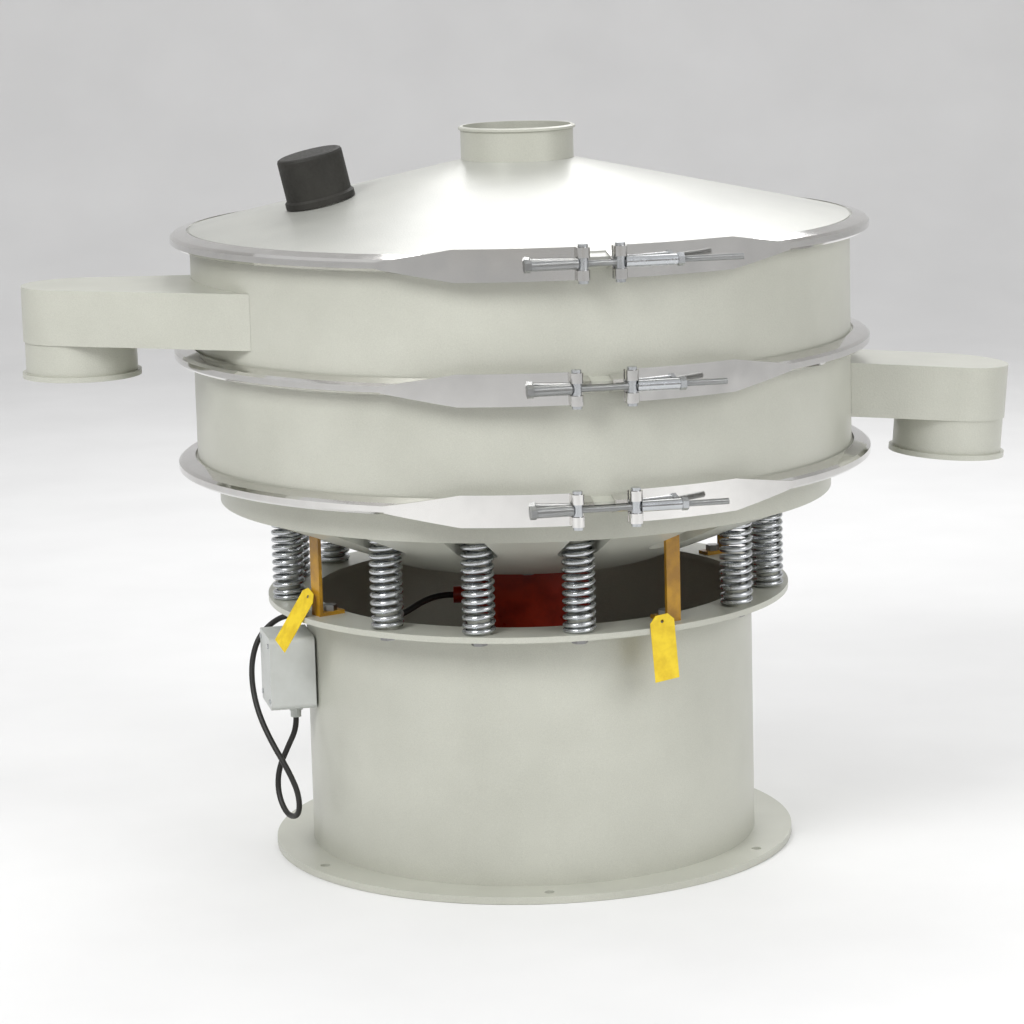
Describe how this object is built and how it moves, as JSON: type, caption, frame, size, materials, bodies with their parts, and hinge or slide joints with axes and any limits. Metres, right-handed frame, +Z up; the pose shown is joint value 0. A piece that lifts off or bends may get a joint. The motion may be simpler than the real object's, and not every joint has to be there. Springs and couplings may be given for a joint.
{
  "type": "vibrating sieve",
  "caption": "Round vibratory sieve on a sprung drum base, with a conical lid, side outlet spouts, polished band clamps and an out-of-balance motor.",
  "frame": {"origin": "centre of the base flange's underside, on the floor", "axes": "+Z up the sieve's axis, out of the inlet; -Y towards the front, where the clamp closures are; +X to the right"},
  "size_m": [1.3657, 0.9939, 1.008],
  "materials": {
    "hammertone_paint": "semi-gloss hammertone, pale cream grey",
    "zinc_steel": "bright zinc plated",
    "stainless_steel": "mirror polished stainless steel",
    "motor_red_paint": "semi-gloss red enamel",
    "yellow_paint": "semi-gloss dark yellow",
    "tag_card": "bare yellow card",
    "grey_plastic": "light grey ABS",
    "black_rubber": "matt black",
    "black_plastic": "black nylon"
  },
  "bodies": {
    "base": {"base_flange": "hammertone_paint", "base_drum": "hammertone_paint", "spring_ring": "hammertone_paint", "lower_spring_seats": "hammertone_paint", "spring_bolts": "zinc_steel", "transit_brackets": "yellow_paint", "transit_bracket_bolts": "zinc_steel", "bracket_tags": "tag_card", "junction_box": "grey_plastic", "junction_box_cover": "grey_plastic", "junction_box_screws": "zinc_steel", "cable_gland": "grey_plastic", "cable_bush": "black_rubber", "power_cable": "black_rubber", "motor_lead": "black_rubber", "springs_front": "zinc_steel", "springs_right": "zinc_steel", "springs_back": "zinc_steel", "springs_left": "zinc_steel"},
    "sieve": {"table_skirt": "hammertone_paint", "table_deck": "hammertone_paint", "table_cone": "hammertone_paint", "upper_spring_seats": "hammertone_paint", "motor_flange": "motor_red_paint", "motor_bolts": "zinc_steel", "motor_housing": "motor_red_paint", "motor_end_cover": "motor_red_paint", "motor_gland": "black_plastic", "discharge_dome": "hammertone_paint", "lower_frame": "hammertone_paint", "lower_outlet": "hammertone_paint", "screen_ring": "stainless_steel", "screen_mesh": "stainless_steel", "screen_gasket": "black_rubber", "base_gasket": "black_rubber", "lid_gasket": "black_rubber", "upper_frame": "hammertone_paint", "upper_outlet": "hammertone_paint", "lid_cone": "hammertone_paint", "inlet_spout": "hammertone_paint", "inspection_stub": "hammertone_paint", "clamp_band_top": "stainless_steel", "clamp_band_middle": "stainless_steel", "clamp_band_bottom": "stainless_steel", "clamp_straps_top": "stainless_steel", "clamp_straps_middle": "stainless_steel", "clamp_straps_bottom": "stainless_steel", "clamp_trunnions": "stainless_steel", "clamp_bolts": "stainless_steel"},
    "rotor": {"motor_shaft": "zinc_steel", "upper_weight": "zinc_steel"},
    "lower_weight": {"lower_weight": "zinc_steel"},
    "top_clamp_sleeve": {"clamp_sleeve_top": "stainless_steel"},
    "top_clamp_nut": {"clamp_nut_top": "stainless_steel"},
    "middle_clamp_sleeve": {"clamp_sleeve_middle": "stainless_steel"},
    "middle_clamp_nut": {"clamp_nut_middle": "stainless_steel"},
    "bottom_clamp_sleeve": {"clamp_sleeve_bottom": "stainless_steel"},
    "bottom_clamp_nut": {"clamp_nut_bottom": "stainless_steel"},
    "port_cap": {"port_cap": "black_rubber"}
  },
  "joints": [
    {"name": "spring_bounce", "type": "slide", "parent": "base", "child": "sieve", "axis": [0, 0, 1], "range_m": [-0.008, 0.004], "stiffness_N_per_m": 470000, "springref_m": 0.00396, "deforming": ["springs_front", "springs_right", "springs_back", "springs_left", "motor_lead"]},
    {"name": "motor_spin", "type": "hinge", "parent": "sieve", "child": "rotor", "pos_m": [0, 0, 0.327], "axis": [0, 0, 1], "continuous": true},
    {"name": "lead_angle", "type": "hinge", "parent": "rotor", "child": "lower_weight", "pos_m": [0, 0, 0.196], "axis": [0, 0, 1], "range_deg": [0, 90]},
    {"name": "top_clamp_travel", "type": "slide", "parent": "sieve", "child": "top_clamp_sleeve", "axis": [0.9781, 0.2079, 0], "range_m": [0, 0.02]},
    {"name": "top_clamp_nut_turn", "type": "hinge", "parent": "top_clamp_sleeve", "child": "top_clamp_nut", "pos_m": [0.20227, -0.46102, 0.866], "axis": [0.9781, 0.2079, 0], "range_deg": [0, 5760]},
    {"name": "middle_clamp_travel", "type": "slide", "parent": "sieve", "child": "middle_clamp_sleeve", "axis": [0.9781, 0.2079, 0], "range_m": [0, 0.02]},
    {"name": "middle_clamp_nut_turn", "type": "hinge", "parent": "middle_clamp_sleeve", "child": "middle_clamp_nut", "pos_m": [0.20227, -0.46102, 0.708], "axis": [0.9781, 0.2079, 0], "range_deg": [0, 5760]},
    {"name": "bottom_clamp_travel", "type": "slide", "parent": "sieve", "child": "bottom_clamp_sleeve", "axis": [0.9781, 0.2079, 0], "range_m": [0, 0.02]},
    {"name": "bottom_clamp_nut_turn", "type": "hinge", "parent": "bottom_clamp_sleeve", "child": "bottom_clamp_nut", "pos_m": [0.20227, -0.46102, 0.553], "axis": [0.9781, 0.2079, 0], "range_deg": [0, 5760]},
    {"name": "cap_pull", "type": "slide", "parent": "sieve", "child": "port_cap", "axis": [-0.2058, -0.0708, 0.976], "range_m": [0, 0.08]}
  ],
  "couplings": [
    {"joint": "top_clamp_nut_turn", "follows": "top_clamp_travel", "rad_per_m": 5026.5},
    {"joint": "middle_clamp_nut_turn", "follows": "middle_clamp_travel", "rad_per_m": 5026.5},
    {"joint": "bottom_clamp_nut_turn", "follows": "bottom_clamp_travel", "rad_per_m": 5026.5}
  ]
}
